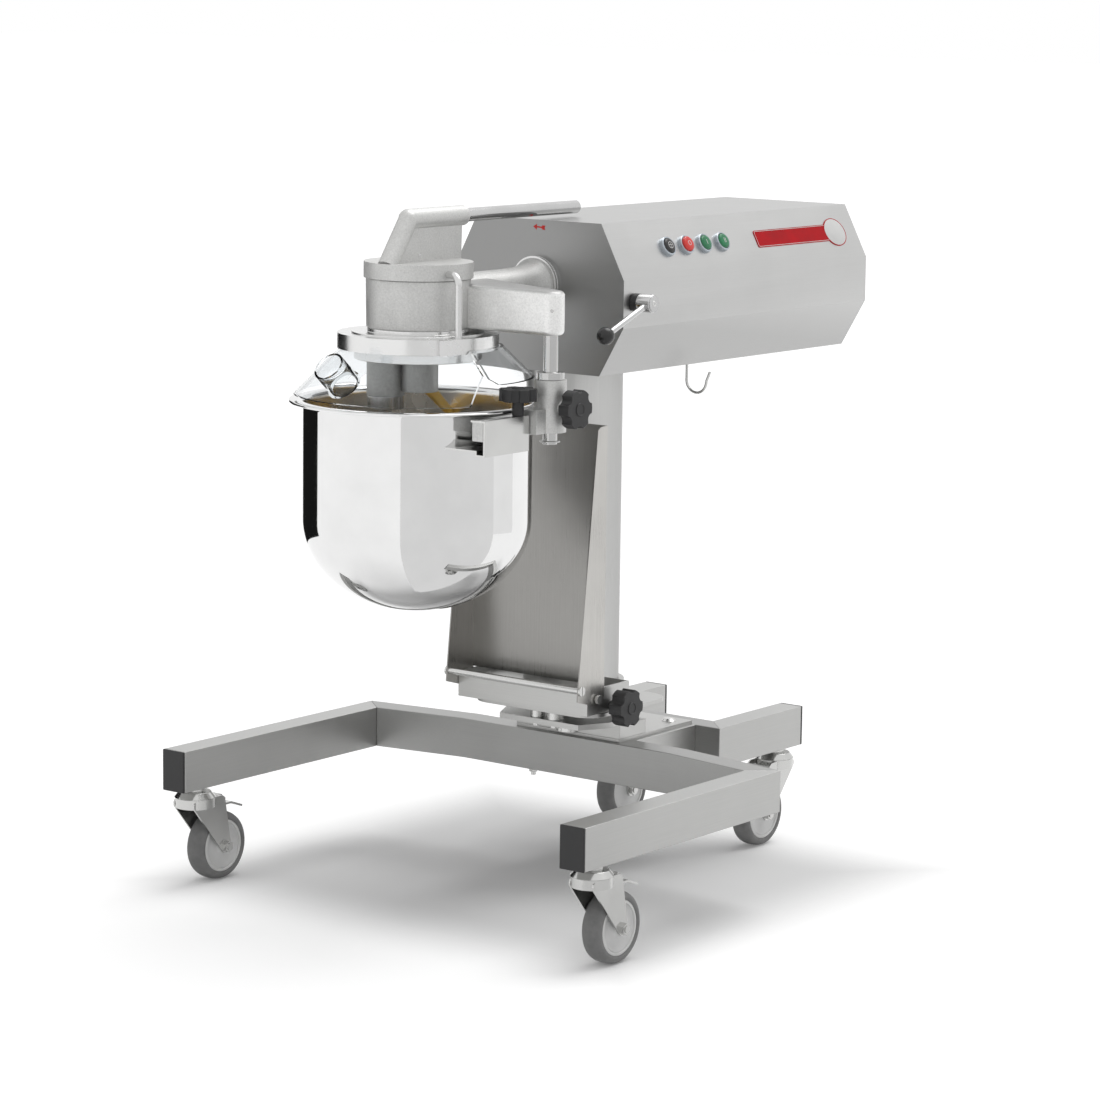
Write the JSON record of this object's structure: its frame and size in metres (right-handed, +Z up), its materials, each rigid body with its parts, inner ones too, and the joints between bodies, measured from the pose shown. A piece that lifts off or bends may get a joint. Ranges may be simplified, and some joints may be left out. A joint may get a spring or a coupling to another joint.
{
  "type": "mobile planetary mixer on a drive unit",
  "caption": "Wheeled kitchen drive unit: swivelling column, eight-sided motor housing with push buttons, planetary head with splash guard over a hanging steel bowl, and a fold-down shelf.",
  "frame": {"origin": "on the floor under the column's axis, at the centre of the bounding box", "axes": "+Z up, -Y towards the bowl, +X towards the operator's buttons"},
  "size_m": [0.776, 1.0792, 0.9903],
  "materials": {
    "frame_steel": "satin ground",
    "plate_steel": "satin ground",
    "sheet_steel": "satin ground",
    "column_steel": "satin ground",
    "housing_steel": "satin ground",
    "fastener_steel": "bright",
    "shaft_steel": "turned and polished",
    "bowl_steel": "mirror polished",
    "beater_steel": "polished",
    "caster_zinc": "bright zinc",
    "bezel_chrome": "polished",
    "tyre_grey": "matt grey",
    "cast_aluminium": "rough cast",
    "turned_aluminium": "turned",
    "mount_iron": "painted grey",
    "carrier_iron": "rough cast",
    "motor_paint": "semi gloss",
    "black_plastic": "matt",
    "button_black": "gloss",
    "button_red": "gloss",
    "button_green": "gloss",
    "plate_red": "gloss",
    "clear_plastic": "clear",
    "yellow_plastic": "matt"
  },
  "bodies": {
    "base": {"leg_tubes": "frame_steel", "front_beam": "frame_steel", "spine_tubes": "frame_steel", "rear_beam": "frame_steel", "end_caps": "black_plastic", "base_plate": "plate_steel", "foot_block": "plate_steel", "lower_plate": "plate_steel", "base_fasteners": "fastener_steel", "bearing_plate": "plate_steel", "king_pin": "fastener_steel", "caster_stems": "caster_zinc"},
    "upper": {"column_foot": "plate_steel", "column_tube": "column_steel", "housing_shell": "housing_steel", "rear_panel": "housing_steel", "mount_plate": "mount_iron", "motor": "motor_paint", "gearbox": "mount_iron", "hub_flange": "shaft_steel", "button_bezels": "bezel_chrome", "nameplate": "plate_red", "towel_hook": "fastener_steel", "head_casting": "cast_aluminium", "post": "shaft_steel", "fixed_ring": "turned_aluminium", "rear_guard": "clear_plastic", "ring_gear": "shaft_steel"},
    "shelf": {"shelf_panel": "sheet_steel", "shelf_bar": "fastener_steel"},
    "lock_screw": {"lock_knob": "black_plastic"},
    "lever": {"clamp_lever": "bezel_chrome"},
    "black_button": {"button_black": "button_black"},
    "red_button": {"button_red": "button_red"},
    "green_button_front": {"button_green_front": "button_green"},
    "green_button_rear": {"button_green_rear": "button_green"},
    "shaft": {"drive_shaft": "shaft_steel"},
    "carrier": {"planet_carrier": "carrier_iron", "scraper": "yellow_plastic"},
    "tool": {"tool_spindle": "shaft_steel", "beater": "beater_steel"},
    "guard": {"head_cap": "cast_aluminium", "handle_rod": "shaft_steel", "guide_rod": "shaft_steel", "guard_ring": "turned_aluminium", "splash_guard": "clear_plastic"},
    "bowl_carrier": {"clamp_body": "cast_aluminium", "bowl": "bowl_steel"},
    "clamp_screw": {"clamp_knob": "black_plastic"},
    "bracket_screw": {"bracket_knob": "black_plastic"},
    "caster_front_left": {"fork_front_left": "caster_zinc"},
    "roll_front_left": {"wheel_front_left": "tyre_grey"},
    "caster_front_right": {"fork_front_right": "caster_zinc"},
    "roll_front_right": {"wheel_front_right": "tyre_grey"},
    "caster_rear_left": {"fork_rear_left": "caster_zinc"},
    "roll_rear_left": {"wheel_rear_left": "tyre_grey"},
    "caster_rear_right": {"fork_rear_right": "caster_zinc"},
    "roll_rear_right": {"wheel_rear_right": "tyre_grey"},
    "brake_left": {"pedal_left": "caster_zinc"},
    "brake_right": {"pedal_right": "caster_zinc"}
  },
  "joints": [
    {"name": "column_swivel", "type": "hinge", "parent": "base", "child": "upper", "pos_m": [0, 0, 0.28], "axis": [0, 0, 1], "range_deg": [-90, 90]},
    {"name": "shelf_hinge", "type": "hinge", "parent": "upper", "child": "shelf", "pos_m": [0, -0.0976, 0.285], "axis": [1, 0, 0], "range_deg": [0, 14]},
    {"name": "lock_screw_turn", "type": "hinge", "parent": "upper", "child": "lock_screw", "pos_m": [0.14, -0.06, 0.2705], "axis": [1, 0, 0], "range_deg": [-180, 180]},
    {"name": "lever_turn", "type": "hinge", "parent": "upper", "child": "lever", "pos_m": [0.16, -0.067, 0.853], "axis": [1, 0, 0], "range_deg": [-70, 45]},
    {"name": "black_button_push", "type": "slide", "parent": "upper", "child": "black_button", "axis": [-0.8852, 0, -0.4653], "range_m": [0, 0.003], "stiffness_N_per_m": 400, "springref_m": -0.002},
    {"name": "red_button_push", "type": "slide", "parent": "upper", "child": "red_button", "axis": [-0.8852, 0, -0.4653], "range_m": [0, 0.003], "stiffness_N_per_m": 400, "springref_m": -0.002},
    {"name": "green_button_front_push", "type": "slide", "parent": "upper", "child": "green_button_front", "axis": [-0.8852, 0, -0.4653], "range_m": [0, 0.003], "stiffness_N_per_m": 400, "springref_m": -0.002},
    {"name": "green_button_rear_push", "type": "slide", "parent": "upper", "child": "green_button_rear", "axis": [-0.8852, 0, -0.4653], "range_m": [0, 0.003], "stiffness_N_per_m": 400, "springref_m": -0.002},
    {"name": "shaft_spin", "type": "hinge", "parent": "upper", "child": "shaft", "pos_m": [0, -0.15, 0.871], "axis": [0, 1, 0], "continuous": true},
    {"name": "carrier_spin", "type": "hinge", "parent": "upper", "child": "carrier", "pos_m": [0, -0.356, 0.8], "axis": [0, 0, 1], "continuous": true},
    {"name": "tool_spin", "type": "hinge", "parent": "carrier", "child": "tool", "pos_m": [-0.02814, -0.39112, 0.76], "axis": [0, 0, 1], "continuous": true},
    {"name": "guard_turn", "type": "hinge", "parent": "upper", "child": "guard", "pos_m": [0, -0.356, 0.905], "axis": [0, 0, 1], "range_deg": [-90, 5]},
    {"name": "bowl_lift", "type": "slide", "parent": "upper", "child": "bowl_carrier", "axis": [0, 0, 1], "range_m": [-0.01, 0]},
    {"name": "clamp_screw_turn", "type": "hinge", "parent": "bowl_carrier", "child": "clamp_screw", "pos_m": [0.235, -0.314, 0.731], "axis": [1, 0, 0], "range_deg": [-180, 180]},
    {"name": "bracket_screw_turn", "type": "hinge", "parent": "bowl_carrier", "child": "bracket_screw", "pos_m": [0.1865, -0.371, 0.75], "axis": [0, 0, 1], "range_deg": [-180, 180]},
    {"name": "swivel_front_left", "type": "hinge", "parent": "base", "child": "caster_front_left", "pos_m": [-0.358, -0.42, 0.12], "axis": [0, 0, 1], "continuous": true},
    {"name": "roll_front_left", "type": "hinge", "parent": "caster_front_left", "child": "roll_front_left", "pos_m": [-0.358, -0.376, 0.05], "axis": [1, 0, 0], "continuous": true},
    {"name": "swivel_front_right", "type": "hinge", "parent": "base", "child": "caster_front_right", "pos_m": [0.358, -0.42, 0.12], "axis": [0, 0, 1], "continuous": true},
    {"name": "roll_front_right", "type": "hinge", "parent": "caster_front_right", "child": "roll_front_right", "pos_m": [0.358, -0.376, 0.05], "axis": [1, 0, 0], "continuous": true},
    {"name": "swivel_rear_left", "type": "hinge", "parent": "base", "child": "caster_rear_left", "pos_m": [-0.128, 0.348, 0.12], "axis": [0, 0, 1], "continuous": true},
    {"name": "roll_rear_left", "type": "hinge", "parent": "caster_rear_left", "child": "roll_rear_left", "pos_m": [-0.128, 0.304, 0.05], "axis": [1, 0, 0], "continuous": true},
    {"name": "swivel_rear_right", "type": "hinge", "parent": "base", "child": "caster_rear_right", "pos_m": [0.128, 0.348, 0.12], "axis": [0, 0, 1], "continuous": true},
    {"name": "roll_rear_right", "type": "hinge", "parent": "caster_rear_right", "child": "roll_rear_right", "pos_m": [0.128, 0.304, 0.05], "axis": [1, 0, 0], "continuous": true},
    {"name": "brake_left_press", "type": "hinge", "parent": "caster_front_left", "child": "brake_left", "pos_m": [-0.358, -0.382, 0.112], "axis": [1, 0, 0], "range_deg": [-12, 0]},
    {"name": "brake_right_press", "type": "hinge", "parent": "caster_front_right", "child": "brake_right", "pos_m": [0.358, -0.382, 0.112], "axis": [1, 0, 0], "range_deg": [-12, 0]}
  ],
  "couplings": [
    {"joint": "shaft_spin", "follows": "carrier_spin", "ratio": 2},
    {"joint": "tool_spin", "follows": "carrier_spin", "ratio": -3.6471}
  ]
}
